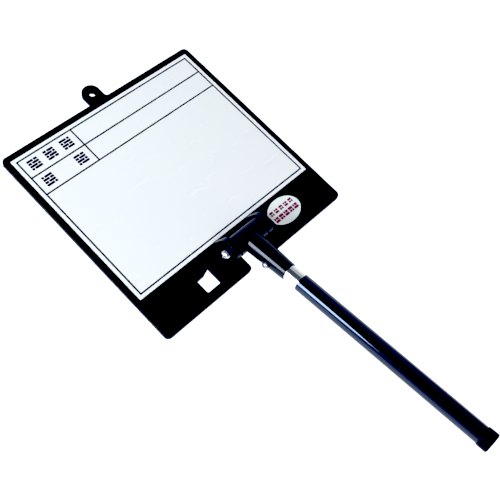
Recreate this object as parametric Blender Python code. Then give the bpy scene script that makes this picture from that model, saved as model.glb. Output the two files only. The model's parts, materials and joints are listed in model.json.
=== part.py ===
"""Hand-held site whiteboard on a short telescopic handle, in metres.

The board lies on its back: +X is its right, +Y its top and +Z its front.
The origin is the middle of the back plate's rear face. The handle hangs from a
hinge near the plate's lower edge and is tilted a little towards the front.
"""

import math

import bmesh
import bpy
from mathutils import Vector

MM = 0.001
GAP = 0.3 * MM  # between pieces that rest on each other
LAYER_GAP = 0.2 * MM  # between the thin layers of the writing panel
FIT = 0.15 * MM  # radial, between a shaft and its hole
SEGMENTS = 48
EDGE = 0.5 * MM  # broken edges of mouldings
PAST = 1 * MM  # how far a cutter runs beyond the surface it cuts

# Back plate, with its hanging ear, notch and square hole
PLATE_WIDTH = 230 * MM
PLATE_HEIGHT = 227 * MM
PLATE_THICKNESS = 5.5 * MM
PLATE_CORNER = 5 * MM
EAR_WIDTH = 18.6 * MM
EAR_HEIGHT = 20.6 * MM
EAR_TOP_RADIUS = 9.25 * MM
EAR_HOLE_RADIUS = 3.65 * MM
EAR_HOLE_RISE = 10 * MM  # hole centre above the plate's top edge
FILLET = 3 * MM  # where the ear and the notch meet straight edges
NOTCH_WIDTH = 20.4 * MM
NOTCH_HEIGHT = 18 * MM
NOTCH_CORNER = 4 * MM
SQUARE_HOLE = [  # corners of the square hole as (x, y, radius)
    (-59.0 * MM, -104.4 * MM, 1.6 * MM),
    (-41.6 * MM, -104.4 * MM, 0.5 * MM),
    (-41.6 * MM, -86.4 * MM, 0.4 * MM),
    (-49.8 * MM, -89.3 * MM, 0.4 * MM),
    (-59.0 * MM, -89.6 * MM, 0.4 * MM),
]
LEFT, RIGHT = -PLATE_WIDTH / 2, PLATE_WIDTH / 2
BOTTOM, TOP = -PLATE_HEIGHT / 2, PLATE_HEIGHT / 2

# Writing panel, laid in a shallow recess of the plate
PANEL_SIDE_MARGIN = 5.8 * MM
PANEL_TOP_MARGIN = 6.5 * MM
PANEL_BOTTOM_MARGIN = 42.3 * MM
PANEL_CORNER = 0.8 * MM
RECESS_DEPTH = 1.4 * MM
TAPE_THICKNESS = 0.2 * MM
TAPE_WIDTH = 25 * MM
TAPE_INSET = 12 * MM
STEEL_THICKNESS = 0.4 * MM
FILM_THICKNESS = 0.25 * MM

# Oval sticker on the lower strip
STICKER_CENTRE = (57.1 * MM, -89.6 * MM)
STICKER_SIZE = (38.8 * MM, 27.4 * MM)
STICKER_THICKNESS = 0.15 * MM
STICKER_TRIM = 1.8 * MM

# Hinge
HINGE_Y = BOTTOM + 22.2 * MM
HINGE_Z = 21.5 * MM
HANDLE_TILT = math.radians(9.485)
EYE_RADIUS = 10.3 * MM  # round end of the bracket's ears
EAR_INNER = 17.9 * MM
EAR_OUTER = 23.8 * MM
EYE_SLOPE_START = 9.3 * MM  # along Y, where the slope down to the base leaves the eye's top
EYE_SLOPE_RADIUS = 8.9 * MM
EYE_ROUND_RADIUS = 10.2 * MM
BASE_THICKNESS = 2.8 * MM
BASE_OVERLAP = 1 * MM  # of the base into each ear
BASE_FROM, BASE_TO = 1 * MM, 18 * MM  # along Y from the hinge axis
EAR_TOE = 3 * MM  # height and corner radius of the ears' ends above the base
BOLT_RADIUS = 2.5 * MM
BOLT_POINT = 0.6 * MM
BOLT_HEAD_RADIUS = 4.3 * MM
BOLT_HEAD_HEIGHT = 4.6 * MM
BOLT_HEAD_RIM = 0.35  # share of the head's height below its dome
BOLT_DRIVE = (2.3 * MM, 1 * MM)  # arm length and width of the cross recess
BOLT_DRIVE_DEPTH = 2.2 * MM
WASHER_RADIUS = 5 * MM
WASHER_THICKNESS = 1 * MM
SPRING_WASHER_RADIUS = 4.4 * MM
SPRING_WASHER_THICKNESS = 1.3 * MM
SPRING_WASHER_SPLIT = 1 * MM
NUT_ACROSS_FLATS = 8 * MM
NUT_THICKNESS = 3.2 * MM
FRICTION_RADIUS = 8.8 * MM
FRICTION_THICKNESS = 0.6 * MM

# Bracket screws, put in from the plate's back
SCREW_X = 20.85 * MM
SCREW_Y = (-4.5 * MM, 13 * MM)  # from the hinge axis
SCREW_RADIUS = 1.5 * MM
SCREW_HEAD_RADIUS = 2.9 * MM
SCREW_HEAD_LOW = 0.2 * MM
SCREW_RIM = 0.3 * MM
SCREW_SHANK_LOW = SCREW_HEAD_LOW + SCREW_RIM + SCREW_HEAD_RADIUS - SCREW_RADIUS
SCREW_TIP_Z = 14.1 * MM
SCREW_POINT = 1.5 * MM
SCREW_POINT_RADIUS = 0.4 * MM
SCREW_DRIVE = (1.7 * MM, 0.7 * MM)
SCREW_DRIVE_TOP = 1.2 * MM

# Tee socket; distances along the handle are taken from the hinge axis
BARREL_RADIUS = 10.3 * MM
BARREL_HALF = EAR_INNER - FRICTION_THICKNESS - 2 * GAP
SLEEVE_START = 1 * MM
SLEEVE_START_RADIUS = 9.25 * MM
SLEEVE_ROOT = 8 * MM
SLEEVE_ROOT_RADIUS = 10.25 * MM
SLEEVE_END_RADIUS = 8.4 * MM
SLEEVE_END = 51 * MM
SOCKET_FLOOR = 12 * MM
PIVOT_SLEEVE_RADIUS = 4.2 * MM
SOCKET_SCREW_AT = 32 * MM
SOCKET_SCREW_HEAD_RADIUS = 3.4 * MM
SOCKET_SCREW_HEAD_HEIGHT = 3.3 * MM
SOCKET_SCREW_HEAD_RIM = 0.3  # share of the head's height below its dome
SOCKET_SCREW_TIP = -2.4 * MM
SOCKET_SCREW_POINT = 1.2 * MM
SOCKET_SCREW_HOLE_END = -1.8 * MM
SOCKET_SCREW_DRIVE = (1.8 * MM, 0.8 * MM)
SOCKET_SCREW_DRIVE_DEPTH = 1.4 * MM

# Telescopic tubes
INNER_RADIUS = 7.5 * MM
INNER_WALL = 1 * MM
INNER_END = 238 * MM
OUTER_RADIUS = 8.3 * MM
OUTER_WALL = 0.65 * MM
OUTER_MOUTH_EDGE = 0.25 * MM
OUTER_START, OUTER_END = 65.5 * MM, 266.2 * MM
PLUG_END = 46 * MM

# Twist lock at the inner tube's far end
SPINDLE_START = 222 * MM
LOCK_ECCENTRICITY = 0.6 * MM
LOCK_PIN_RADIUS = 4.2 * MM
LOCK_RING_BORE = 5.1 * MM
LOCK_RING_LENGTH = 13 * MM
LOCK_RING_SPLIT = 2 * MM
LOCK_FLANGE = 1.8 * MM

# End cap
CAP_START, CAP_END = 259 * MM, 269 * MM
CAP_RADIUS = 9.05 * MM
CAP_LIP = 0.15 * MM
CAP_SHOULDER = 2.4 * MM
CAP_EDGE = 0.8 * MM
CAP_EDGE_STEP = 0.2 * MM
SPIGOT_LENGTH = 5 * MM
SPIGOT_WALL = 1.2 * MM


def clear_scene():
    for obj in list(bpy.data.objects):
        bpy.data.objects.remove(obj, do_unlink=True)


def make_material(name, colour, roughness, metallic=0.0):
    material = bpy.data.materials.new(name)
    material.use_nodes = True
    material.diffuse_color = (*colour, 1.0)
    shader = material.node_tree.nodes["Principled BSDF"]
    shader.inputs["Base Color"].default_value = (*colour, 1.0)
    shader.inputs["Roughness"].default_value = roughness
    shader.inputs["Metallic"].default_value = metallic
    return material


def add_object(name, bm, look=None, parent=None):
    """A scene object from this bmesh. Without a look it is only a helper for cuts and joins."""
    bmesh.ops.recalc_face_normals(bm, faces=bm.faces)
    mesh = bpy.data.meshes.new(name)
    bm.to_mesh(mesh)
    bm.free()
    obj = bpy.data.objects.new(name, mesh)
    bpy.context.scene.collection.objects.link(obj)
    obj.parent = parent
    if look:
        mesh.materials.append(make_material(name, *look))
    else:
        obj.hide_render = True
        obj.display_type = "WIRE"
    return obj


def add_empty(name, location, rotation=(0, 0, 0)):
    empty = bpy.data.objects.new(name, None)
    empty.location = location
    empty.rotation_euler = rotation
    bpy.context.scene.collection.objects.link(empty)
    return empty


def prism(name, outline, low, high, look=None, parent=None):
    """A solid with this outline in X and Y, from one height to another."""
    bm = bmesh.new()
    face = bm.faces.new([bm.verts.new((x, y, low)) for x, y in outline])
    raised = bmesh.ops.extrude_face_region(bm, geom=[face])["geom"]
    top = [item for item in raised if isinstance(item, bmesh.types.BMVert)]
    bmesh.ops.translate(bm, vec=(0, 0, high - low), verts=top)
    return add_object(name, bm, look, parent)


def turned(name, profile, look=None, parent=None, segments=SEGMENTS):
    """A solid turned about its own Z axis from a closed outline of (radius, height) points."""
    bm = bmesh.new()
    points = [bm.verts.new((radius, 0, height)) for radius, height in profile]
    edges = []
    for first, second in zip(points, points[1:] + points[:1]):
        if first.co.x > 0 or second.co.x > 0:
            edges.append(bm.edges.new((first, second)))
    bmesh.ops.spin(
        bm, geom=points + edges, cent=(0, 0, 0), axis=(0, 0, 1), angle=math.tau, steps=segments
    )
    bmesh.ops.remove_doubles(bm, verts=bm.verts, dist=1e-6)
    obj = add_object(name, bm, look, parent)
    obj.data.shade_smooth()
    obj.data.set_sharp_from_angle(angle=math.radians(35))
    return obj


def rod(name, radius, low, high, look=None, parent=None):
    return turned(name, [(0, low), (radius, low), (radius, high), (0, high)], look, parent)


def ring(name, bore, radius, low, high, look=None, parent=None):
    return turned(name, [(bore, low), (radius, low), (radius, high), (bore, high)], look, parent)


def across(obj, y=0.0, z=0.0):
    """Turns a piece so that its own Z axis runs along +X."""
    obj.location = (0, y, z)
    obj.rotation_euler = (0, math.pi / 2, 0)
    return obj


def combine(obj, helper, operation="DIFFERENCE"):
    modifier = obj.modifiers.new(helper.name, "BOOLEAN")
    modifier.operation = operation
    modifier.object = helper
    return obj


def soften(obj, width, segments=2):
    modifier = obj.modifiers.new("edges", "BEVEL")
    modifier.width = width
    modifier.segments = segments
    modifier.limit_method = "ANGLE"
    modifier.angle_limit = math.radians(50)


def rounded(corners, steps=6):
    """The outline through these (x, y, radius) corners, each rounded by an arc of its radius."""
    outline = []
    for index, (x, y, radius) in enumerate(corners):
        here = Vector((x, y))
        back = (Vector(corners[index - 1][:2]) - here).normalized()
        ahead = (Vector(corners[(index + 1) % len(corners)][:2]) - here).normalized()
        if radius == 0:
            outline.append((x, y))
            continue
        half = back.angle(ahead) / 2
        centre = here + (back + ahead).normalized() * radius / math.sin(half)
        start = here + back * radius / math.tan(half) - centre
        end = here + ahead * radius / math.tan(half) - centre
        sweep = math.atan2(start.cross(end), start.dot(end))
        angle = math.atan2(start.y, start.x)
        for step in range(steps + 1):
            turn = angle + sweep * step / steps
            outline.append((centre.x + radius * math.cos(turn), centre.y + radius * math.sin(turn)))
    return outline


def rectangle(left, bottom, right, top, radius=0.0):
    corners = [(left, bottom), (right, bottom), (right, top), (left, top)]
    return rounded([(x, y, radius) for x, y in corners])


def circle(x, y, radius, steps=32, turn=0.0):
    angles = [turn + math.tau * step / steps for step in range(steps)]
    return [(x + radius * math.cos(angle), y + radius * math.sin(angle)) for angle in angles]


def dome(radius, under, height, rim, steps=6):
    """Outline of a pan head that hangs below `under`, from the middle of its top to its rim."""
    points = [(0, under - height)]
    for step in range(1, steps + 1):
        turn = math.pi / 2 * step / steps
        rise = height * (rim + (1 - rim) * math.cos(turn))
        points.append((radius * math.sin(turn), under - rise))
    return points


def cross_outline(arm, width):
    """A plus-shaped outline, for a screw's drive recess."""
    a, w = arm, width / 2
    quarter = [(a, -w), (a, w), (w, w), (w, a)]
    outline = []
    for turn in range(4):
        c, s = round(math.cos(turn * math.pi / 2)), round(math.sin(turn * math.pi / 2))
        outline += [(x * c - y * s, x * s + y * c) for x, y in quarter[:3]]
    return outline


BLACK_PLATE = ((0.012, 0.012, 0.016), 0.38)
BLACK_MOULDING = ((0.010, 0.011, 0.016), 0.32)
WHITE_FILM = ((0.86, 0.88, 0.89), 0.18)
STEEL = ((0.62, 0.64, 0.66), 0.35, 1.0)
TAPE = ((0.55, 0.50, 0.40), 0.7)
CHROME = ((0.78, 0.80, 0.84), 0.15, 1.0)
NYLON = ((0.75, 0.75, 0.70), 0.5)
ALUMINIUM = ((0.80, 0.82, 0.84), 0.25, 1.0)
BLACK_TUBE = ((0.010, 0.012, 0.030), 0.12)
RUBBER = ((0.014, 0.014, 0.018), 0.6)


def make_back_plate():
    """Black plate with the ear at the top, the handle's notch below and a square hole to its left."""
    ear, notch = EAR_WIDTH / 2, NOTCH_WIDTH / 2
    notch_top = BOTTOM + NOTCH_HEIGHT
    side = [
        (notch, notch_top, FILLET),
        (notch, BOTTOM, NOTCH_CORNER),
        (RIGHT, BOTTOM, PLATE_CORNER),
        (RIGHT, TOP, PLATE_CORNER),
        (ear, TOP, FILLET),
        (ear, TOP + EAR_HEIGHT, EAR_TOP_RADIUS),
    ]
    other_side = [(-x, y, radius) for x, y, radius in reversed(side)]
    plate = prism("back_plate", rounded(side + other_side), 0, PLATE_THICKNESS, BLACK_PLATE)
    soften(plate, EDGE)

    recess = prism(
        "cut_panel_recess",
        rectangle(
            LEFT + PANEL_SIDE_MARGIN - GAP,
            BOTTOM + PANEL_BOTTOM_MARGIN - GAP,
            RIGHT - PANEL_SIDE_MARGIN + GAP,
            TOP - PANEL_TOP_MARGIN + GAP,
        ),
        PLATE_THICKNESS - RECESS_DEPTH,
        PLATE_THICKNESS + PAST,
    )
    combine(plate, recess)
    ear_hole = circle(0, TOP + EAR_HOLE_RISE, EAR_HOLE_RADIUS)
    combine(plate, prism("cut_ear_hole", ear_hole, -PAST, PLATE_THICKNESS + PAST))
    square = rounded(SQUARE_HOLE, steps=3)
    combine(plate, prism("cut_square_hole", square, -PAST, PLATE_THICKNESS + PAST))
    for screw_x, screw_y in screw_places():
        hole = turned(
            "cut_plate_screw",
            [
                (0, -PAST),
                (SCREW_HEAD_RADIUS + GAP, -PAST),
                (SCREW_HEAD_RADIUS + GAP, SCREW_HEAD_LOW + SCREW_RIM),
                (SCREW_RADIUS + GAP, SCREW_SHANK_LOW),
                (SCREW_RADIUS + GAP, PLATE_THICKNESS + PAST),
                (0, PLATE_THICKNESS + PAST),
            ],
            segments=24,
        )
        hole.location = (screw_x, screw_y, 0)
        combine(plate, hole)


def screw_places():
    return [(x, HINGE_Y + y) for x in (-SCREW_X, SCREW_X) for y in SCREW_Y]


def make_writing_panel():
    """Tape strips, steel sheet and printed film, one on the other in the plate's recess."""
    left, right = LEFT + PANEL_SIDE_MARGIN, RIGHT - PANEL_SIDE_MARGIN
    bottom, top = BOTTOM + PANEL_BOTTOM_MARGIN, TOP - PANEL_TOP_MARGIN
    tape_low = PLATE_THICKNESS - RECESS_DEPTH + LAYER_GAP
    steel_low = tape_low + TAPE_THICKNESS + LAYER_GAP
    film_low = steel_low + STEEL_THICKNESS + LAYER_GAP
    strips = {
        "tape_strip_top": top - TAPE_INSET - TAPE_WIDTH,
        "tape_strip_middle": (bottom + top - TAPE_WIDTH) / 2,
        "tape_strip_bottom": bottom + TAPE_INSET,
    }
    for name, y in strips.items():
        outline = rectangle(left + TAPE_INSET, y, right - TAPE_INSET, y + TAPE_WIDTH)
        prism(name, outline, tape_low, tape_low + TAPE_THICKNESS, TAPE)
    panel = rectangle(left, bottom, right, top, PANEL_CORNER)
    prism("steel_sheet", panel, steel_low, steel_low + STEEL_THICKNESS, STEEL)
    prism("writing_film", panel, film_low, film_low + FILM_THICKNESS, WHITE_FILM)


def make_sticker():
    """Oval sticker whose left side is cut straight."""
    width, height = STICKER_SIZE
    low = PLATE_THICKNESS + LAYER_GAP
    oval = [(x * width / 2, y * height / 2) for x, y in circle(0, 0, 1, 56)]
    sticker = prism("oval_sticker", oval, low, low + STICKER_THICKNESS, WHITE_FILM)
    sticker.location = (*STICKER_CENTRE, 0)
    trim = rectangle(-width, -height, -width / 2 + STICKER_TRIM, height)
    cutter = prism("cut_sticker_side", trim, 0, 2 * PLATE_THICKNESS)
    cutter.location = sticker.location
    combine(sticker, cutter)


def ear_outline():
    """Side view of a bracket ear, as (Y, Z) from the hinge axis."""
    foot = PLATE_THICKNESS + GAP - HINGE_Z
    r = EYE_RADIUS
    return rounded(
        [
            (-r, foot, 0),
            (BASE_TO, foot, 0),
            (BASE_TO, foot + BASE_THICKNESS + EAR_TOE, EAR_TOE),
            (EYE_SLOPE_START, r, EYE_SLOPE_RADIUS),
            (-r, r, EYE_ROUND_RADIUS),
        ],
        steps=12,
    )


def along_x(obj):
    """Turns a prism drawn as (Y, Z) and raised along Z so that it stands on those axes."""
    obj.rotation_euler = (math.pi / 2, 0, math.pi / 2)
    return obj


def make_bracket(hinge):
    foot = PLATE_THICKNESS + GAP - HINGE_Z
    half = EAR_INNER + BASE_OVERLAP
    base = rectangle(-half, BASE_FROM, half, BASE_TO)
    bracket = prism("hinge_bracket", base, foot, foot + BASE_THICKNESS, BLACK_MOULDING, hinge)
    for name, low in (("form_left_ear", -EAR_OUTER), ("form_right_ear", EAR_INNER)):
        ear = along_x(prism(name, ear_outline(), low, low + EAR_OUTER - EAR_INNER, parent=hinge))
        soften(ear, EDGE)
        combine(bracket, ear, "UNION")
    end = EAR_OUTER + PAST
    combine(bracket, across(rod("cut_bolt_hole", BOLT_RADIUS + FIT, -end, end, parent=hinge)))
    pocket = circle(0, 0, (NUT_ACROSS_FLATS / 2 + FIT) / math.cos(math.pi / 6), 6)
    pocket_floor = EAR_OUTER - NUT_THICKNESS - 2 * GAP
    combine(bracket, across(prism("cut_nut_pocket", pocket, pocket_floor, end, parent=hinge)))
    pilot_end = SCREW_TIP_Z - HINGE_Z + GAP
    for index, (x, y) in enumerate(screw_places()):
        pilot = rod(f"cut_pilot_{index}", SCREW_RADIUS + FIT, foot - PAST, pilot_end, parent=hinge)
        pilot.location = (x, y - HINGE_Y, 0)
        combine(bracket, pilot)


def make_bracket_screws():
    """Countersunk screws from the plate's back, with their heads just under its rear face."""
    profile = [
        (0, SCREW_HEAD_LOW),
        (SCREW_HEAD_RADIUS, SCREW_HEAD_LOW),
        (SCREW_HEAD_RADIUS, SCREW_HEAD_LOW + SCREW_RIM),
        (SCREW_RADIUS, SCREW_SHANK_LOW),
        (SCREW_RADIUS, SCREW_TIP_Z - SCREW_POINT),
        (SCREW_POINT_RADIUS, SCREW_TIP_Z),
        (0, SCREW_TIP_Z),
    ]
    for index, (x, y) in enumerate(screw_places(), 1):
        screw = turned(f"bracket_screw_{index}", profile, CHROME, segments=24)
        screw.location = (x, y, 0)
        drive = prism(f"cut_drive_{index}", cross_outline(*SCREW_DRIVE), -PAST, SCREW_DRIVE_TOP)
        drive.location = screw.location
        combine(screw, drive)


def make_hinge_bolt(hinge):
    """Pan-head bolt through the hinge from the left, with its washers, and the nut on the right."""
    washer_low = -EAR_OUTER - GAP - WASHER_THICKNESS
    spring_low = washer_low - GAP - SPRING_WASHER_THICKNESS
    head_low = spring_low - GAP
    tip = EAR_OUTER - GAP
    profile = dome(BOLT_HEAD_RADIUS, head_low, BOLT_HEAD_HEIGHT, BOLT_HEAD_RIM)
    profile += [
        (BOLT_HEAD_RADIUS, head_low),
        (BOLT_RADIUS, head_low),
        (BOLT_RADIUS, tip - BOLT_POINT),
        (BOLT_RADIUS - BOLT_POINT, tip),
        (0, tip),
    ]
    bolt = across(turned("hinge_bolt", profile, CHROME, hinge))
    head_top = head_low - BOLT_HEAD_HEIGHT
    outline = cross_outline(*BOLT_DRIVE)
    drive_end = head_top + BOLT_DRIVE_DEPTH
    drive = prism("cut_bolt_drive", outline, head_top - PAST, drive_end, parent=hinge)
    combine(bolt, across(drive))

    bore = BOLT_RADIUS + FIT
    washer_end = washer_low + WASHER_THICKNESS
    spring_end = spring_low + SPRING_WASHER_THICKNESS
    across(ring("flat_washer", bore, WASHER_RADIUS, washer_low, washer_end, CHROME, hinge))
    spring = ring("spring_washer", bore, SPRING_WASHER_RADIUS, spring_low, spring_end, CHROME, hinge)
    half = SPRING_WASHER_SPLIT / 2
    split = rectangle(0, -half, SPRING_WASHER_RADIUS + PAST, half)
    cutter = prism("cut_washer_split", split, spring_low - PAST, washer_low, parent=hinge)
    combine(across(spring), across(cutter))

    nut_low = EAR_OUTER - NUT_THICKNESS - GAP
    corner = NUT_ACROSS_FLATS / 2 / math.cos(math.pi / 6)
    nut = prism("hinge_nut", circle(0, 0, corner, 6), nut_low, nut_low + NUT_THICKNESS, CHROME, hinge)
    nut_hole = rod("cut_nut_hole", bore, nut_low - PAST, EAR_OUTER + PAST, parent=hinge)
    combine(across(nut), across(nut_hole))


def make_friction_washers(hinge):
    low = BARREL_HALF + GAP
    bore = PIVOT_SLEEVE_RADIUS + FIT
    starts = {"friction_washer_left": -low - FRICTION_THICKNESS, "friction_washer_right": low}
    for name, start in starts.items():
        end = start + FRICTION_THICKNESS
        across(ring(name, bore, FRICTION_RADIUS, start, end, BLACK_MOULDING, hinge))


def make_tee_socket(pole):
    """Cross barrel on the hinge axis and the tapered sleeve that takes the inner tube."""
    socket = across(rod("tee_socket", BARREL_RADIUS, -BARREL_HALF, BARREL_HALF, BLACK_MOULDING, pole))
    sleeve = turned(
        "form_sleeve",
        [
            (0, SLEEVE_START),
            (SLEEVE_START_RADIUS, SLEEVE_START),
            (SLEEVE_ROOT_RADIUS, SLEEVE_ROOT),
            (SLEEVE_END_RADIUS, SLEEVE_END - EDGE),
            (SLEEVE_END_RADIUS - EDGE, SLEEVE_END),
            (0, SLEEVE_END),
        ],
        parent=pole,
    )
    combine(socket, sleeve, "UNION")
    bore = INNER_RADIUS + FIT
    combine(socket, rod("cut_socket_bore", bore, SOCKET_FLOOR, SLEEVE_END + PAST, parent=pole))
    end = BARREL_HALF + PAST
    combine(socket, across(rod("cut_socket_eye", PIVOT_SLEEVE_RADIUS + FIT, -end, end, parent=pole)))
    combine(socket, screw_hole("cut_socket_screw", pole))
    bore = BOLT_RADIUS + FIT
    across(ring("pivot_sleeve", bore, PIVOT_SLEEVE_RADIUS, -BARREL_HALF, BARREL_HALF, STEEL, pole))


def screw_hole(name, pole):
    """Cutter for the cross screw that holds the inner tube, on the sleeve's left side."""
    hole = rod(name, SCREW_RADIUS + FIT, -2 * SLEEVE_ROOT_RADIUS, SOCKET_SCREW_HOLE_END, parent=pole)
    return across(hole, z=SOCKET_SCREW_AT)


def make_socket_screw(pole):
    share = SOCKET_SCREW_AT / SLEEVE_END
    seat = SLEEVE_ROOT_RADIUS + (SLEEVE_END_RADIUS - SLEEVE_ROOT_RADIUS) * share
    under = -seat - GAP
    profile = dome(SOCKET_SCREW_HEAD_RADIUS, under, SOCKET_SCREW_HEAD_HEIGHT, SOCKET_SCREW_HEAD_RIM)
    profile += [
        (SOCKET_SCREW_HEAD_RADIUS, under),
        (SCREW_RADIUS, under),
        (SCREW_RADIUS, SOCKET_SCREW_TIP - SOCKET_SCREW_POINT),
        (SCREW_POINT_RADIUS, SOCKET_SCREW_TIP),
        (0, SOCKET_SCREW_TIP),
    ]
    screw = across(turned("socket_screw", profile, CHROME, pole, segments=32), z=SOCKET_SCREW_AT)
    top = under - SOCKET_SCREW_HEAD_HEIGHT
    drive_end = top + SOCKET_SCREW_DRIVE_DEPTH
    outline = cross_outline(*SOCKET_SCREW_DRIVE)
    drive = prism("cut_socket_drive", outline, top - PAST, drive_end, parent=pole)
    combine(screw, across(drive, z=SOCKET_SCREW_AT))


def make_inner_tube(pole):
    start = SOCKET_FLOOR + GAP
    bore = INNER_RADIUS - INNER_WALL
    tube = ring("inner_tube", bore, INNER_RADIUS, start, INNER_END, ALUMINIUM, pole)
    combine(tube, screw_hole("cut_tube_screw", pole))
    plug = rod("tube_plug", bore - FIT, start, PLUG_END, NYLON, pole)
    combine(plug, screw_hole("cut_plug_screw", pole))


def make_twist_lock(pole):
    """Eccentric spindle in the inner tube's end, and the split ring it wedges in the outer tube."""
    ring_low = INNER_END + GAP + LOCK_FLANGE + GAP
    ring_high = ring_low + LOCK_RING_LENGTH
    bore = INNER_RADIUS - INNER_WALL
    spindle = turned(
        "lock_spindle",
        [
            (0, SPINDLE_START),
            (bore - FIT, SPINDLE_START),
            (bore - FIT, INNER_END + GAP),
            (INNER_RADIUS - FIT, INNER_END + GAP),
            (INNER_RADIUS - FIT, ring_low - GAP),
            (0, ring_low - GAP),
        ],
        BLACK_MOULDING,
        pole,
    )
    pin_low, pin_high = ring_low - LOCK_FLANGE, ring_high + LOCK_FLANGE
    pin = rod("form_lock_pin", LOCK_PIN_RADIUS, pin_low, pin_high, parent=pole)
    pin.location = (LOCK_ECCENTRICITY, 0, 0)
    combine(spindle, pin, "UNION")
    end = rod("form_lock_end", bore - FIT, ring_high + GAP, pin_high + GAP, parent=pole)
    combine(spindle, end, "UNION")

    collar = ring("lock_ring", LOCK_RING_BORE, INNER_RADIUS, ring_low, ring_high, NYLON, pole)
    half = LOCK_RING_SPLIT / 2
    split = rectangle(-half, 0, half, INNER_RADIUS + PAST)
    cutter = prism("cut_ring_split", split, ring_low - PAST, ring_high + PAST, parent=pole)
    combine(collar, cutter)


def make_outer_tube(pole):
    bore = OUTER_RADIUS - OUTER_WALL
    turned(
        "outer_tube",
        [
            (bore, OUTER_START),
            (OUTER_RADIUS - OUTER_MOUTH_EDGE, OUTER_START),
            (OUTER_RADIUS, OUTER_START + OUTER_MOUTH_EDGE),
            (OUTER_RADIUS, OUTER_END),
            (bore, OUTER_END),
        ],
        BLACK_TUBE,
        pole,
    )


def make_end_cap(pole):
    """Slip-on cap with a sloping shoulder, and a short spigot inside the tube."""
    skirt_bore = OUTER_RADIUS + FIT
    spigot = OUTER_RADIUS - OUTER_WALL - FIT
    floor = OUTER_END + GAP
    turned(
        "end_cap",
        [
            (0, CAP_END),
            (CAP_RADIUS - CAP_EDGE, CAP_END),
            (CAP_RADIUS - CAP_EDGE_STEP, CAP_END - CAP_EDGE_STEP),
            (CAP_RADIUS, CAP_END - CAP_EDGE),
            (CAP_RADIUS, CAP_START + CAP_SHOULDER),
            (skirt_bore + CAP_LIP, CAP_START),
            (skirt_bore, CAP_START),
            (skirt_bore, floor),
            (spigot, floor),
            (spigot, floor - SPIGOT_LENGTH),
            (spigot - SPIGOT_WALL, floor - SPIGOT_LENGTH),
            (spigot - SPIGOT_WALL, floor),
            (0, floor),
        ],
        RUBBER,
        pole,
    )


def main():
    clear_scene()
    axis = (0, HINGE_Y, HINGE_Z)
    hinge = add_empty("hinge_axis", axis)
    pole = add_empty("handle_axis", axis, (math.pi / 2 - HANDLE_TILT, 0, 0))
    make_back_plate()
    make_writing_panel()
    make_sticker()
    make_bracket(hinge)
    make_bracket_screws()
    make_hinge_bolt(hinge)
    make_friction_washers(hinge)
    make_tee_socket(pole)
    make_socket_screw(pole)
    make_inner_tube(pole)
    make_twist_lock(pole)
    make_outer_tube(pole)
    make_end_cap(pole)


main()
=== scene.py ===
"""Site whiteboard on a telescopic handle: its finished pieces, surfaces, light and camera."""

import json
import math

import bpy
from mathutils import Matrix, Vector


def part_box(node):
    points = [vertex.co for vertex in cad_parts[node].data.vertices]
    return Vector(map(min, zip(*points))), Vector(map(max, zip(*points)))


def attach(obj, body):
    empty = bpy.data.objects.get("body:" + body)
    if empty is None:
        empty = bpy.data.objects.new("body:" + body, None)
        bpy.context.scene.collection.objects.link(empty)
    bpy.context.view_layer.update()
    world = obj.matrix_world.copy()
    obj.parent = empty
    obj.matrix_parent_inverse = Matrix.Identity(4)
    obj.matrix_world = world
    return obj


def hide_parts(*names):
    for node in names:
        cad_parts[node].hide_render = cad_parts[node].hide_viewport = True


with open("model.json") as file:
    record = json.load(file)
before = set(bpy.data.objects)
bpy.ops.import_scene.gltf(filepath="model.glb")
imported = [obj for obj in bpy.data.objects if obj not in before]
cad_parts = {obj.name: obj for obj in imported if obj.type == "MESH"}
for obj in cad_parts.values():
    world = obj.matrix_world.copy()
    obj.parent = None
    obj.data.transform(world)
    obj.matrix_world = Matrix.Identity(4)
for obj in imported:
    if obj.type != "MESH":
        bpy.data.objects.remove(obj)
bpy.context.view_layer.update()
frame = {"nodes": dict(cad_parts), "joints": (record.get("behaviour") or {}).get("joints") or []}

MM = 0.001
GAP = 0.3 * MM  # between pieces that rest on each other
FIT = 0.15 * MM  # radial, between a shaft and its hole
PAST = 1 * MM  # how far a cutter runs beyond the surface it cuts
SMOOTH = math.radians(35)
ALIGNED = 0.9  # cosine above which an edge or a face lies along an axis
CROSSWISE = 0.1  # cosine below which it lies across the axis

# The hinge and the handle's direction, from the frame's joints
JOINTS = {joint["name"]: joint for joint in frame["joints"]}
HINGE = Vector(JOINTS["board_tilt"]["pos_m"])
POLE = Vector(JOINTS["pole_slide"]["axis"]).normalized()
POLE_TURN = math.acos(POLE.z)
ON_HINGE = Matrix.Translation(HINGE)
ON_POLE = ON_HINGE @ Matrix.Rotation(POLE_TURN, 4, "X")


# ---------------------------------------------------------------- measuring the frame


def along_pole(node):
    """Where a node of the handle starts and ends along it, from the hinge, and its radius there."""
    points = [vertex.co - HINGE for vertex in frame["nodes"][node].data.vertices]
    heights = [point.dot(POLE) for point in points]
    radius = max((point - POLE * point.dot(POLE)).length for point in points)
    return min(heights), max(heights), radius


def along_bolt(node):
    """Where a node of the hinge starts and ends along X, and its radius about the bolt."""
    low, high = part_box(node)
    points = [vertex.co - HINGE for vertex in frame["nodes"][node].data.vertices]
    radius = max(math.hypot(point.y, point.z) for point in points)
    return low.x, high.x, radius


# ---------------------------------------------------------------- modelling tools


def only(obj):
    """Makes this the one selected and active object."""
    bpy.ops.object.select_all(action="DESELECT")
    obj.select_set(True)
    bpy.context.view_layer.objects.active = obj


def added(operator, **settings):
    """A new primitive, with its place and size put into its mesh."""
    bpy.ops.object.select_all(action="DESELECT")
    operator(**settings)
    obj = bpy.context.object
    bpy.ops.object.transform_apply(location=True, rotation=True, scale=True)
    return obj


def block(low, high):
    low, high = Vector(low), Vector(high)
    middle = (low + high) / 2
    return added(bpy.ops.mesh.primitive_cube_add, size=1, location=middle, scale=high - low)


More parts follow.
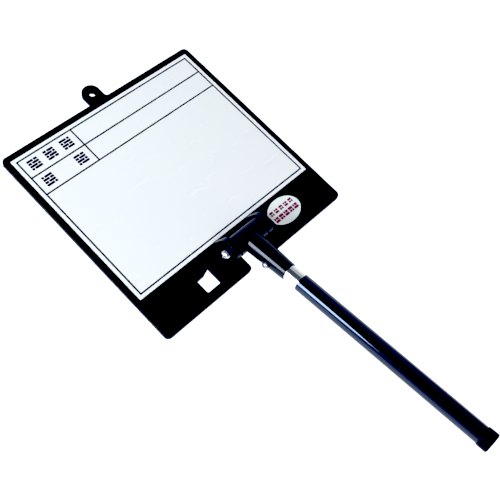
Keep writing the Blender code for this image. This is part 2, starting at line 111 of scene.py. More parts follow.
def rod(radius, low, high, sides=96, turn=0.0):
    """A cylinder on the Z axis."""
    middle = (0, 0, (low + high) / 2)
    make = bpy.ops.mesh.primitive_cylinder_add
    return added(make, vertices=sides, radius=radius, depth=high - low, location=middle,
                 rotation=(0, 0, turn))


def every_face(centre, normal):
    """A test for pick that every face passes."""
    return True


def pick(obj, kind, test):
    """Opens the mesh for editing with only the items that pass the test selected."""
    only(obj)
    bpy.ops.object.mode_set(mode="EDIT")
    bpy.ops.mesh.select_mode(type=kind)
    bpy.ops.mesh.select_all(action="DESELECT")
    bpy.ops.object.mode_set(mode="OBJECT")
    mesh = obj.data
    if kind == "FACE":
        for face in mesh.polygons:
            face.select = bool(test(face.center, face.normal))
    elif kind == "EDGE":
        for edge in mesh.edges:
            first, second = (mesh.vertices[index].co for index in edge.vertices)
            edge.select = bool(test((first + second) / 2, (second - first).normalized()))
    else:
        for vertex in mesh.vertices:
            vertex.select = bool(test(vertex.co))
    bpy.ops.object.mode_set(mode="EDIT")


def done():
    bpy.ops.object.mode_set(mode="OBJECT")


def round_edges(obj, radius, segments, test):
    pick(obj, "EDGE", test)
    bpy.ops.mesh.bevel(offset=radius, segments=segments, affect="EDGES")
    done()


def extrude_to(steps):
    """Draws the selected end face out along Z through these (radius, height) steps."""
    mesh_radius, height = steps[0]
    for radius, next_height in steps[1:]:
        move = {"value": (0, 0, next_height - height)}
        bpy.ops.mesh.extrude_region_move(TRANSFORM_OT_translate=move)
        share = radius / mesh_radius
        bpy.ops.transform.resize(value=(share, share, 1), center_override=(0, 0, next_height))
        mesh_radius, height = radius, next_height
    done()


def turned(profile, sides=96):
    """A closed solid of revolution on Z through (radius, height) points, from one end face to the other."""
    radius, height = profile[0]
    make = bpy.ops.mesh.primitive_circle_add
    obj = added(make, vertices=sides, radius=radius, fill_type="NGON", location=(0, 0, height))
    pick(obj, "FACE", every_face)
    extrude_to(profile)
    outwards(obj)
    return obj


def outwards(obj):
    pick(obj, "FACE", every_face)
    bpy.ops.mesh.remove_doubles(threshold=1e-6)
    bpy.ops.mesh.normals_make_consistent(inside=False)
    done()


def tube(radius, wall, low, high, sides=96):
    """A straight tube on Z with plain ends."""
    obj = rod(radius, low, high, sides)
    pick(obj, "FACE", lambda centre, normal: abs(normal.z) > ALIGNED)
    bpy.ops.mesh.inset(thickness=wall)
    bpy.ops.mesh.bridge_edge_loops()
    done()
    outwards(obj)
    return obj


def modify(obj, kind, **settings):
    """Adds a modifier with these settings and applies it."""
    only(obj)
    modifier = obj.modifiers.new(kind.lower(), kind)
    for name, value in settings.items():
        setattr(modifier, name, value)
    bpy.ops.object.modifier_apply(modifier=modifier.name)


def cut(obj, *cutters):
    for cutter in cutters:
        modify(obj, "BOOLEAN", operation="DIFFERENCE", object=cutter)
        bpy.data.objects.remove(cutter)
    return obj


def weld(obj, *others):
    for other in others:
        modify(obj, "BOOLEAN", operation="UNION", object=other)
        bpy.data.objects.remove(other)
    return obj


def soften(obj, width, segments=3, angle=40):
    """Breaks every sharp edge of the piece."""
    modify(obj, "BEVEL", width=width, segments=segments, limit_method="ANGLE",
           angle_limit=math.radians(angle), use_clamp_overlap=True)


def carry(obj, matrix):
    """Takes a piece to its place, and puts the place into its mesh."""
    only(obj)
    obj.matrix_world = matrix @ obj.matrix_world
    bpy.ops.object.transform_apply(location=True, rotation=True, scale=True)
    return obj


def across():
    """Turns a piece drawn along Z so that it runs along +X."""
    return Matrix.Rotation(math.pi / 2, 4, "Y")


DRIVE_TAPER = (0.55, 0.7, 1)  # of a drive recess, from its mouth to its foot


def cross_cutter(arm, width, low, high):
    """Four-armed drive recess, narrower at its foot."""
    arms = []
    for turn in (0, math.pi / 2):
        arm_block = block((-arm, -width / 2, low), (arm, width / 2, high))
        pick(arm_block, "FACE", lambda centre, normal: normal.z < -0.5)
        bpy.ops.transform.resize(value=DRIVE_TAPER, center_override=(0, 0, low))
        done()
        carry(arm_block, Matrix.Rotation(turn, 4, "Z"))
        arms.append(arm_block)
    return weld(*arms)


def complete(obj, name, look, body, replaced=()):
    """Names a finished piece, gives it its surface and fixes it to its body."""
    obj.name = name
    obj.data.name = name
    obj.data.materials.clear()
    obj.data.materials.append(look)
    only(obj)
    bpy.ops.object.shade_smooth_by_angle(angle=SMOOTH)
    modify(obj, "WEIGHTED_NORMAL", keep_sharp=True)
    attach(obj, body)
    if replaced:
        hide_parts(*replaced)
    return obj


# ---------------------------------------------------------------- surface tools


def node(tree, kind, inputs=None, **settings):
    """A shader node; an input given as a socket is linked, and any other value is set."""
    made = tree.nodes.new("ShaderNode" + kind)
    for name, value in settings.items():
        setattr(made, name, value)
    for name, value in (inputs or {}).items():
        if isinstance(value, bpy.types.NodeSocket):
            tree.links.new(value, made.inputs[name])
        else:
            made.inputs[name].default_value = value
    return made


def finish(name, values):
    """A new surface with these values on its shader's own sockets."""
    look = bpy.data.materials.new(name)
    look.use_nodes = True
    shader = look.node_tree.nodes["Principled BSDF"]
    for socket, value in values.items():
        shader.inputs[socket].default_value = value
    return look, look.node_tree, shader


def coordinates(tree, turn=0.0, scale=(1, 1, 1)):
    """Object coordinates, turned about X and then stretched."""
    source = node(tree, "TexCoord").outputs["Object"]
    turned_space = node(tree, "Mapping", {"Vector": source, "Rotation": (-turn, 0, 0)})
    stretched = node(tree, "Mapping", {"Vector": turned_space.outputs["Vector"], "Scale": scale})
    return stretched.outputs["Vector"]


def noise(tree, vector, scale, detail=3.0, roughness=0.5):
    inputs = {"Vector": vector, "Scale": scale, "Detail": detail, "Roughness": roughness}
    return node(tree, "TexNoise", inputs).outputs["Fac"]


def cells(tree, vector, scale):
    return node(tree, "TexVoronoi", {"Vector": vector, "Scale": scale}).outputs["Distance"]


def spread(tree, value, low, high, to_low=0.0, to_high=1.0):
    """Maps a value's range low..high onto another, with both ends clamped."""
    names = ("From Min", "From Max", "To Min", "To Max")
    inputs = dict(zip(names, (low, high, to_low, to_high)), Value=value)
    return node(tree, "MapRange", inputs).outputs["Result"]


def maths(tree, operation, first, second=0.0):
    made = node(tree, "Math", operation=operation)
    for index, value in enumerate((first, second)):
        if isinstance(value, bpy.types.NodeSocket):
            tree.links.new(value, made.inputs[index])
        else:
            made.inputs[index].default_value = value
    return made.outputs["Value"]


def blend_colours(tree, share, first, second):
    made = node(tree, "Mix", data_type="RGBA")
    for index, value in ((0, share), (6, first), (7, second)):
        if isinstance(value, bpy.types.NodeSocket):
            tree.links.new(value, made.inputs[index])
        else:
            made.inputs[index].default_value = value
    return made.outputs[2]


def bump(tree, shader, height, strength, distance):
    inputs = {"Height": height, "Strength": strength, "Distance": distance}
    tree.links.new(node(tree, "Bump", inputs).outputs["Normal"], shader.inputs["Normal"])


def feed(tree, shader, socket, value):
    tree.links.new(value, shader.inputs[socket])


def scratches(tree, vector, scale, cover=0.62):
    """Fine hair scratches: thin bands where a stretched noise crosses its middle."""
    level = noise(tree, vector, scale, detail=1.0)
    distance = maths(tree, "ABSOLUTE", maths(tree, "SUBTRACT", level, 0.5))
    line = spread(tree, distance, 0.0, 0.006, 1.0, 0.0)
    patches = spread(tree, noise(tree, vector, scale * 0.35), cover, cover + 0.06)
    return maths(tree, "MULTIPLY", line, patches)


# ---------------------------------------------------------------- surfaces


def moulded_black(name, colour, roughness, sheen_level, grain, depth):
    """Black moulded plastic: spark-eroded grain, faint flow clouds and rubbed scratches."""
    look, tree, shader = finish(name, {"Specular IOR Level": sheen_level})
    space = coordinates(tree)
    clouds = noise(tree, space, 35, 4)
    grit = noise(tree, space, grain, 2)
    pits = cells(tree, space, grain * 0.6)
    lines = scratches(tree, coordinates(tree, scale=(0.35, 1, 1)), 160)
    dark = (*colour, 1)
    light = tuple(channel * 1.7 + 0.001 for channel in colour) + (1,)
    rubbed = tuple(channel * 3 + 0.012 for channel in colour) + (1,)
    base = blend_colours(tree, spread(tree, clouds, 0.35, 0.7), dark, light)
    rub = maths(tree, "MULTIPLY", lines, 0.5)
    feed(tree, shader, "Base Color", blend_colours(tree, rub, base, rubbed))
    sheen = spread(tree, clouds, 0.3, 0.7, roughness - 0.05, roughness + 0.08)
    feed(tree, shader, "Roughness", maths(tree, "ADD", sheen, maths(tree, "MULTIPLY", grit, 0.06)))
    relief = maths(tree, "ADD", grit, maths(tree, "MULTIPLY", pits, 0.6))
    bump(tree, shader, maths(tree, "SUBTRACT", relief, maths(tree, "MULTIPLY", lines, 0.8)), 0.5, depth)
    return look


def write_and_wipe_film():
    """Glossy white film with a trace of wiped marker and a soft ripple from the sheet below."""
    look, tree, shader = finish("white_film", {"Coat Weight": 0.25, "Coat Roughness": 0.08})
    space = coordinates(tree)
    wiped = noise(tree, coordinates(tree, scale=(0.35, 1.6, 1)), 38, 5, 0.6)
    ghost = spread(tree, wiped, 0.56, 0.78, 0.0, 0.35)
    tint = spread(tree, noise(tree, space, 9, 2), 0.35, 0.65)
    white = blend_colours(tree, tint, (0.845, 0.868, 0.872, 1), (0.852, 0.856, 0.884, 1))
    feed(tree, shader, "Base Color", blend_colours(tree, ghost, white, (0.80, 0.825, 0.835, 1)))
    smears = noise(tree, coordinates(tree, scale=(0.5, 2.2, 1)), 70, 4)
    lines = scratches(tree, coordinates(tree, scale=(1, 0.3, 1)), 90, 0.66)
    gloss = spread(tree, smears, 0.3, 0.75, 0.16, 0.3)
    feed(tree, shader, "Roughness", maths(tree, "ADD", gloss, maths(tree, "MULTIPLY", lines, 0.06)))
    ripple = maths(tree, "ADD", noise(tree, space, 60, 1), maths(tree, "MULTIPLY", lines, -0.01))
    bump(tree, shader, ripple, 0.12, 0.4 * MM)
    return look


def printed_ink(name, colour):
    """Screen-printed ink: a little uneven, with pinholes."""
    look, tree, shader = finish(name, {"Specular IOR Level": 0.15})
    space = coordinates(tree)
    thin = tuple(channel * 1.25 + 0.004 for channel in colour)
    patch = spread(tree, noise(tree, space, 420, 4), 0.4, 0.7)
    feed(tree, shader, "Base Color", blend_colours(tree, patch, (*colour, 1), (*thin, 1)))
    feed(tree, shader, "Roughness", spread(tree, noise(tree, space, 900, 2), 0.3, 0.7, 0.32, 0.5))
    bump(tree, shader, noise(tree, space, 2600, 2), 0.25, 0.02 * MM)
    return look


def sticker_film():
    """Coated sticker paper, with a cool cast and faint stains."""
    look, tree, shader = finish("sticker_film", {"Coat Weight": 0.15, "Coat Roughness": 0.2})
    space = coordinates(tree)
    fibre = noise(tree, coordinates(tree, scale=(1, 3, 1)), 900, 5, 0.65)
    stain = spread(tree, noise(tree, space, 120, 4), 0.45, 0.8, 0.0, 0.6)
    weave = spread(tree, fibre, 0.3, 0.7)
    paper = blend_colours(tree, weave, (0.79, 0.84, 0.83, 1), (0.84, 0.87, 0.87, 1))
    feed(tree, shader, "Base Color", blend_colours(tree, stain, paper, (0.66, 0.80, 0.75, 1)))
    feed(tree, shader, "Roughness", spread(tree, fibre, 0.3, 0.7, 0.3, 0.45))
    bump(tree, shader, fibre, 0.2, 0.03 * MM)
    return look


def plated(name, colour, roughness):
    """Plated steel with polishing haze, pits and fine hairlines."""
    look, tree, shader = finish(name, {"Metallic": 1.0})
    space = coordinates(tree)
    haze = noise(tree, space, 500, 4)
    dull = tuple(channel * 0.72 for channel in colour) + (1,)
    patches = spread(tree, haze, 0.5, 0.8)
    feed(tree, shader, "Base Color", blend_colours(tree, patches, (*colour, 1), dull))
    lines = scratches(tree, coordinates(tree, scale=(1, 0.2, 1)), 1400, 0.5)
    gloss = spread(tree, haze, 0.3, 0.8, roughness, roughness + 0.14)
    feed(tree, shader, "Roughness", maths(tree, "ADD", gloss, maths(tree, "MULTIPLY", lines, 0.2)))
    bump(tree, shader, maths(tree, "ADD", haze, lines), 0.15, 0.02 * MM)
    return look


def sheet_steel():
    """Thin rolled steel: long rolling lines and a dull zinc bloom."""
    look, tree, shader = finish("sheet_steel", {"Metallic": 1.0})
    rolled = noise(tree, coordinates(tree, scale=(0.05, 1, 1)), 1500, 3)
    bloom = noise(tree, coordinates(tree), 90, 5, 0.6)
    base = blend_colours(tree, bloom, (0.50, 0.52, 0.54, 1), (0.68, 0.70, 0.71, 1))
    feed(tree, shader, "Base Color", base)
    feed(tree, shader, "Roughness", spread(tree, bloom, 0.3, 0.7, 0.28, 0.5))
    bump(tree, shader, rolled, 0.3, 0.02 * MM)
    return look


def adhesive_tape():
    """Double-sided foam tape with an open cell structure."""
    look, tree, shader = finish("adhesive_tape", {"Specular IOR Level": 0.2})
    foam = cells(tree, coordinates(tree), 2600)
    base = blend_colours(tree, foam, (0.36, 0.31, 0.22, 1), (0.62, 0.57, 0.45, 1))
    feed(tree, shader, "Base Color", base)
    feed(tree, shader, "Roughness", spread(tree, foam, 0.0, 0.6, 0.6, 0.85))
    bump(tree, shader, foam, 0.5, 0.05 * MM)
    return look


def drawn_aluminium():
    """Cold-drawn tube: hairlines along its length, and rub marks from the outer tube."""
    values = {"Metallic": 1.0, "Anisotropic": 0.2, "Anisotropic Rotation": 0.25}
    look, tree, shader = finish("aluminium", values)
    grain = noise(tree, coordinates(tree, POLE_TURN, (1, 1, 0.012)), 2600, 4, 0.6)
    rub = noise(tree, coordinates(tree, POLE_TURN, (1, 1, 0.06)), 500, 3)
    cloud = noise(tree, coordinates(tree), 70, 4)
    shade = spread(tree, grain, 0.3, 0.7)
    base = blend_colours(tree, shade, (0.62, 0.66, 0.69, 1), (0.74, 0.77, 0.785, 1))
    marks = spread(tree, rub, 0.6, 0.75, 0.0, 0.5)
    feed(tree, shader, "Base Color", blend_colours(tree, marks, base, (0.54, 0.57, 0.59, 1)))
    gloss = spread(tree, cloud, 0.3, 0.7, 0.13, 0.22)
    feed(tree, shader, "Roughness", maths(tree, "ADD", gloss, maths(tree, "MULTIPLY", marks, 0.2)))
    bump(tree, shader, grain, 0.1, 0.01 * MM)
    return look


def black_lacquer():
    """Blue-black stoving lacquer on the outer tube: orange peel, wipe marks and fine chips."""
    values = {"Specular Tint": (0.60, 0.70, 1.0, 1), "Specular IOR Level": 0.8, "Coat Weight": 0.12,
              "Coat Roughness": 0.05}
    look, tree, shader = finish("black_tube", values)
    space = coordinates(tree)
    wipe = noise(tree, coordinates(tree, POLE_TURN, (1, 1, 0.05)), 420, 4)
    lines = scratches(tree, coordinates(tree, POLE_TURN, (0.5, 0.5, 0.12)), 260, 0.6)
    deep = (0.0004, 0.0005, 0.0020, 1)
    cloud = spread(tree, noise(tree, space, 40, 4), 0.3, 0.7)
    base = blend_colours(tree, cloud, deep, (0.0008, 0.0010, 0.0036, 1))
    worn = maths(tree, "MULTIPLY", lines, 0.35)
    feed(tree, shader, "Base Color", blend_colours(tree, worn, base, (0.05, 0.055, 0.08, 1)))
    gloss = spread(tree, wipe, 0.3, 0.7, 0.05, 0.12)
    feed(tree, shader, "Roughness", maths(tree, "ADD", gloss, maths(tree, "MULTIPLY", lines, 0.15)))
    peel = maths(tree, "ADD", noise(tree, space, 700, 1), maths(tree, "MULTIPLY", lines, -0.3))
    bump(tree, shader, peel, 0.1, 0.03 * MM)
    return look


def nylon():
    """Natural nylon, waxy, with a light bloom."""
    look, tree, shader = finish("nylon", {"Specular IOR Level": 0.4})
    bloom = noise(tree, coordinates(tree), 260, 4)
    base = blend_colours(tree, bloom, (0.60, 0.59, 0.52, 1), (0.78, 0.77, 0.71, 1))
    feed(tree, shader, "Base Color", base)
    feed(tree, shader, "Roughness", spread(tree, bloom, 0.3, 0.7, 0.38, 0.55))
    bump(tree, shader, noise(tree, coordinates(tree), 3000, 2), 0.2, 0.02 * MM)
    return look


def studio_floor():
    glow = {"Emission Color": (1, 1, 1, 1), "Emission Strength": 0.4}
    look, tree, shader = finish("studio_floor", glow)
    cloud = noise(tree, coordinates(tree), 3, 3)
    base = blend_colours(tree, cloud, (0.90, 0.905, 0.91, 1), (0.93, 0.93, 0.93, 1))
    feed(tree, shader, "Base Color", base)
    feed(tree, shader, "Roughness", spread(tree, cloud, 0.3, 0.7, 0.7, 0.85))
    bump(tree, shader, noise(tree, coordinates(tree), 900, 2), 0.05, 0.1 * MM)
    return look


# Black mouldings: name, colour, roughness, sheen, grain per metre and depth of the grain
PLATE_BLACK = moulded_black("plate_plastic", (0.0024, 0.0025, 0.0036), 0.42, 0.05, 2300, 0.06 * MM)
MOULDING_BLACK = moulded_black("moulding", (0.0014, 0.0016, 0.0030), 0.14, 0.36, 3400, 0.006 * MM)
RUBBER_BLACK = moulded_black("cap_rubber", (0.0026, 0.0026, 0.0030), 0.45, 0.12, 2800, 0.06 * MM)
FILM = write_and_wipe_film()
STICKER = sticker_film()
NAVY_INK = printed_ink("navy_ink", (0.001, 0.0015, 0.012))
MAGENTA_INK = printed_ink("magenta_ink", (0.20, 0.001, 0.060))
CHROME = plated("chrome", (0.86, 0.88, 0.92), 0.24)
DULL_ZINC = plated("dull_zinc", (0.44, 0.47, 0.54), 0.26)
DARK_ZINC = plated("dark_zinc", (0.16, 0.17, 0.20), 0.3)
STEEL = sheet_steel()
TAPE = adhesive_tape()
ALUMINIUM = drawn_aluminium()
LACQUER = black_lacquer()
NYLON = nylon()


# ---------------------------------------------------------------- plate

PLATE_LOW, PLATE_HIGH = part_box("back_plate")
FILM_LOW, FILM_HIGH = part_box("writing_film")
PLATE_TOP_EDGE = 113.5 * MM
PLATE_CORNER = 5 * MM
PLATE_FILLET = 3 * MM  # where the ear and the notch meet straight edges
EAR_HALF = 9.3 * MM
EAR_ROOT = 4 * MM  # of the ear's block into the plate
EAR_TOP_RADIUS = 9.25 * MM
EAR_HOLE = (0, 123.5 * MM)
EAR_HOLE_RADIUS = 3.65 * MM
NOTCH_HALF = 10.2 * MM
NOTCH_HEIGHT = 18 * MM
NOTCH_CORNER = 4 * MM
EDGE_BREAK = 0.4 * MM
HOLE_BREAK = 0.15 * MM
RECESS_BREAK = 0.12 * MM
PANEL_DEPTH = 1.4 * MM
SQUARE_HOLE = (-50.3 * MM, -95.7 * MM)
SQUARE_HALF = 8.7 * MM
SQUARE_STEP = 0.5 * MM  # from the hole's middle to the step in its upper edge
SQUARE_RISES = (0.6 * MM, -2.3 * MM, -2.6 * MM)  # of that edge at its right end, step and left end
SQUARE_LEFT_CORNER = 1.4 * MM
SQUARE_RIGHT_CORNER = 0.4 * MM
REAR_SCREW_SEAT = (  # radius and height of the countersink and hole in the plate's back
    (3.2 * MM, -PAST),
    (3.2 * MM, 0.5 * MM),
    (1.8 * MM, 1.9 * MM),
    (1.8 * MM, 7 * MM),
)


def near(value, target, reach=0.02 * MM):
    return abs(value - target) < reach


def make_plate():
    low, high = PLATE_LOW, PLATE_HIGH
    plate = block((low.x, low.y, 0), (high.x, PLATE_TOP_EDGE, high.z))
    weld(plate, block((-EAR_HALF, PLATE_TOP_EDGE - EAR_ROOT, 0), (EAR_HALF, high.y, high.z)))
    notch_top = low.y + NOTCH_HEIGHT
    cut(plate, block((-NOTCH_HALF, low.y - PAST, -PAST), (NOTCH_HALF, notch_top, high.z + PAST)))
    corners = (
        (PLATE_CORNER, 10, lambda p: near(abs(p.x), high.x)),
        (EAR_TOP_RADIUS, 20, lambda p: near(p.y, high.y)),
        (PLATE_FILLET, 8, lambda p: near(p.y, PLATE_TOP_EDGE) and near(abs(p.x), EAR_HALF)),
        (PLATE_FILLET, 8, lambda p: near(p.y, notch_top) and near(abs(p.x), NOTCH_HALF)),
        (NOTCH_CORNER, 8, lambda p: near(p.y, low.y) and near(abs(p.x), NOTCH_HALF)),
    )
    for radius, segments, at in corners:
        round_edges(plate, radius, segments, lambda p, d: abs(d.z) > ALIGNED and at(p))
    ear_hole = rod(EAR_HOLE_RADIUS, -PAST, high.z + PAST, 64)
    carry(ear_hole, Matrix.Translation((*EAR_HOLE, 0)))
    soften(plate, EDGE_BREAK)
    cut(plate, ear_hole, square_hole_cutter())
    round_edges(plate, HOLE_BREAK, 2, on_hole_rim)
    cut_panel_recess(plate)
    for place in rear_screw_places():
        cut(plate, carry(turned(REAR_SCREW_SEAT, 48), Matrix.Translation(place)))
    complete(plate, "moulded_plate", PLATE_BLACK, "board", ["back_plate"])


def on_hole_rim(p, d):
    """An edge of the ear hole or of the square hole on either face of the plate."""
    on_face = near(p.z, 0) or near(p.z, PLATE_HIGH.z)
    in_ear = math.hypot(p.x - EAR_HOLE[0], p.y - EAR_HOLE[1]) < EAR_HOLE_RADIUS + MM
    reach = SQUARE_HALF + MM
    in_square = abs(p.x - SQUARE_HOLE[0]) < reach and abs(p.y - SQUARE_HOLE[1]) < reach
    return on_face and abs(d.z) < CROSSWISE and (in_ear or in_square)


def square_hole_cutter():
    """Square cutter whose upper edge steps and slopes down to the left."""
    x, y = SQUARE_HOLE
    half = SQUARE_HALF
    step = x + SQUARE_STEP
    cutter = block((x - half, y - half, -PAST), (x + half, y + half, PLATE_HIGH.z + PAST))
    pick(cutter, "FACE", every_face)
    bpy.ops.mesh.bisect(plane_co=(step, y, 0), plane_no=(1, 0, 0))
    done()
    for corner_x, rise in zip((x + half, step, x - half), SQUARE_RISES):
        pick(cutter, "VERT", lambda p: near(p.x, corner_x) and near(p.y, y + half))
        bpy.ops.transform.translate(value=(0, rise, 0))
        done()

    def left_foot(p, d):
        return abs(d.z) > ALIGNED and p.x < x - half / 2 and p.y < y

    def right_side(p, d):
        return abs(d.z) > ALIGNED and p.x > x + half / 2

    round_edges(cutter, SQUARE_LEFT_CORNER, 5, left_foot)
    round_edges(cutter, SQUARE_RIGHT_CORNER, 3, right_side)
    return cutter


def cut_panel_recess(plate):
    """Shallow seat for the writing panel, with its rim just broken."""
    margin = Vector((GAP, GAP, GAP))
    low, high = FILM_LOW - margin, FILM_HIGH + margin
    floor = PLATE_HIGH.z - PANEL_DEPTH
    cut(plate, block((low.x, low.y, floor), (high.x, high.y, PLATE_HIGH.z + PAST)))

    def on_rim(p, d):
        on_side = near(p.x, low.x) or near(p.x, high.x) or near(p.y, low.y) or near(p.y, high.y)
        inside = low.x - MM / 2 < p.x < high.x + MM / 2 and low.y - MM / 2 < p.y < high.y + MM / 2
        return near(p.z, PLATE_HIGH.z) and on_side and inside

    round_edges(plate, RECESS_BREAK, 2, on_rim)


def rear_screw_places():
    places = []
    for index in range(1, 5):
        low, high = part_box(f"bracket_screw_{index}")
        places.append(((low.x + high.x) / 2, (low.y + high.y) / 2, 0))
    return places


# ---------------------------------------------------------------- printed form and sticker

INK = 0.03 * MM
INK_GAP = 0.004 * MM
LINE = 1.4 * MM
FORM_INSET = 4.2 * MM
ROW_LINES = (21.2 * MM, 42.6 * MM)
DIVIDER = 61 * MM
DASH_CORNER = 0.3  # share of a dash's shorter side
LABEL_SIDE = 12 * MM
LABEL_GAP = 0.75 * MM
LABELS = (  # across from the frame's left line, and down from its top line
    (12.2 * MM, 10.4 * MM), (30.3 * MM, 10.4 * MM), (48.9 * MM, 10.4 * MM),
    (12.2 * MM, 31.8 * MM), (48.9 * MM, 31.8 * MM),
)
LABEL_STOPS = ((0.0, 0.62, 1.0), (0.0, 0.36, 1.0), (0.0, 0.72, 1.0), (0.0, 0.28, 1.0))
STICKER_FIRST = 44.0 * MM
STICKER_PITCH = 6.4 * MM
STICKER_COLUMNS = 5
STICKER_ROWS = (  # height on the board, side of a block and gap between its dashes
    (-85.7 * MM, 5 * MM, 0.5 * MM),
    (-93.3 * MM, 5.8 * MM, 0.4 * MM),
)
STICKER_STOPS = (((0.0, 1.0), (0.0, 0.55, 1.0)), ((0.0, 0.4, 1.0), (0.0, 1.0)))


def make_form_print():
    """Frame, row lines and column divider, cut from one sheet of ink."""
    left, right = FILM_LOW.x + FORM_INSET, FILM_HIGH.x - FORM_INSET
    bottom, top = FILM_LOW.y + FORM_INSET, FILM_HIGH.y - FORM_INSET
    rows = [top - drop for drop in ROW_LINES]
    divider = left + DIVIDER
    height = FILM_HIGH.z + INK_GAP
    half = LINE / 2
    size = (right - left + LINE, top - bottom + LINE, 1)
    middle = ((left + right) / 2, (bottom + top) / 2, height)
    sheet = added(bpy.ops.mesh.primitive_plane_add, size=1, location=middle)
    pick(sheet, "FACE", every_face)
    bpy.ops.transform.resize(value=size, center_override=middle)
    for x in (left, divider, right):
        for side in (-half, half):
            bpy.ops.mesh.select_all(action="SELECT")
            bpy.ops.mesh.bisect(plane_co=(x + side, 0, 0), plane_no=(1, 0, 0))
    for y in (bottom, *rows, top):
        for side in (-half, half):
            bpy.ops.mesh.select_all(action="SELECT")
            bpy.ops.mesh.bisect(plane_co=(0, y + side, 0), plane_no=(0, 1, 0))
    done()

    def blank(centre, normal):
        on_row = any(near(centre.y, y, half) for y in (bottom, *rows, top))
        on_side = near(centre.x, left, half) or near(centre.x, right, half)
        on_divider = near(centre.x, divider, half) and centre.y > rows[1]
        return not (on_row or on_side or on_divider)

    pick(sheet, "FACE", blank)
    bpy.ops.mesh.delete(type="FACE")
    done()
    modify(sheet, "SOLIDIFY", thickness=INK, offset=1)
    complete(sheet, "form_lines", NAVY_INK, "board")


def dash(low_x, low_y, high_x, high_y, height):
    """One printed dash with rounded corners."""
    stroke = block((low_x, low_y, height), (high_x, high_y, height + INK))
    corner = DASH_CORNER * min(high_x - low_x, high_y - low_y)
    round_edges(stroke, corner, 3, lambda p, d: abs(d.z) > ALIGNED)
    return stroke


def dash_block(centre, side, rows, z, gap):
    """A square filler block of staggered dashes, which stands for a printed word."""
    strokes = []
    left, top = centre[0] - side / 2, centre[1] + side / 2
    pitch = side / len(rows)
    for index, stops in enumerate(rows):
        high = top - index * pitch
        for first, last in zip(stops, stops[1:]):
            low_x = left + first * side + gap / 2
            high_x = left + last * side - gap / 2
            strokes.append(dash(low_x, high - pitch + gap, high_x, high, z))
    return strokes


def joined(pieces):
    only(pieces[0])
    for piece in pieces:
        piece.select_set(True)
    bpy.ops.object.join()
    return bpy.context.object


def make_label_print():
    left, top = FILM_LOW.x + FORM_INSET, FILM_HIGH.y - FORM_INSET
    z = FILM_HIGH.z + INK_GAP
    strokes = []
    for index, (x, drop) in enumerate(LABELS):
        start = index % len(LABEL_STOPS)
        rows = LABEL_STOPS[start:] + LABEL_STOPS[:start]
        strokes += dash_block((left + x, top - drop), LABEL_SIDE, rows, z, LABEL_GAP)
    complete(joined(strokes), "label_blocks", NAVY_INK, "board")


def make_sticker_print():
    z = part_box("oval_sticker")[1].z + INK_GAP
    strokes = []
    for row, (y, side, gap) in enumerate(STICKER_ROWS):
        for column in range(STICKER_COLUMNS):
            centre = (STICKER_FIRST + column * STICKER_PITCH, y)
            rows = STICKER_STOPS[(column + row) % 2]
            strokes += dash_block(centre, side, rows, z, gap)
    complete(joined(strokes), "sticker_dashes", MAGENTA_INK, "board")


# ---------------------------------------------------------------- hinge

EAR_INNER = 17.9 * MM
EAR_OUTER = 23.8 * MM
EYE_RADIUS = 10.3 * MM
EYE_FRONT_ROUND = EYE_RADIUS - 0.1 * MM
EYE_BACK = EYE_RADIUS - 1 * MM  # along Y, where the slope down to the base leaves the eye's top
EYE_BACK_ROUND = 5.8 * MM
BASE_FROM, BASE_TO = 1 * MM, 18 * MM
BASE_THICKNESS = 2.8 * MM
BASE_OVERLAP = 1 * MM  # of the base into each ear
EAR_TOE = 3 * MM  # height and corner radius of the ears' ends above the base
BRACKET_FOOT = PLATE_HIGH.z + GAP - HINGE.z
CLEVIS_BREAK = 0.7 * MM
BORE_BREAK = 0.25 * MM
BORE_REACH = 6.2 * MM  # from the hinge axis, past every corner of the nut's pocket
THROUGH = 40 * MM  # half length of a cutter that runs through the whole hinge

BOLT_RADIUS = 2.5 * MM
BOLT_BORE = 2.65 * MM
BOLT_DRIVE = (2.3 * MM, 1.9 * MM)  # arm length and depth of the cross recess
DOME_STEPS = 7
HEAD_RIM = 0.35  # share of a head's height below its dome
HEAD_EDGE = 0.2 * MM
SHANK_POINT = 0.6 * MM
DRIVE_WIDTH = 0.42  # share of a recess's arm length
NUT_FLATS = 8 * MM
NUT_CHAMFER = 0.7 * MM
NUT_FACE = (NUT_FLATS / 2 - 0.1 * MM, 0.05 * MM)  # radius, and height above the nut, of the cone's top
THREAD_LEAD = 0.4 * MM
THREAD_FLARE = (0.5 * MM, 0.1 * MM)  # wider than the thread, at this height above the nut
WASHER_BREAK = 0.15 * MM
SPLIT_HALF = 0.45 * MM
SPLIT_REACH = 8 * MM
SPLIT_LEAN = 0.5
SPLIT_BREAK = 0.12 * MM

REAR_HEAD_RADIUS = 2.9 * MM
REAR_HEAD_FACE = 2.7 * MM
REAR_RIM = (0.15 * MM, 0.3 * MM)  # heights at which the head's rim begins and ends
REAR_CONE_END = 1.7 * MM
REAR_SHANK_RADIUS = 1.5 * MM
REAR_POINT = 1.5 * MM
REAR_POINT_RADIUS = 0.4 * MM
REAR_DRIVE = (1.75 * MM, 0.75 * MM, 1.3 * MM)  # arm length, width and depth of the cross recess


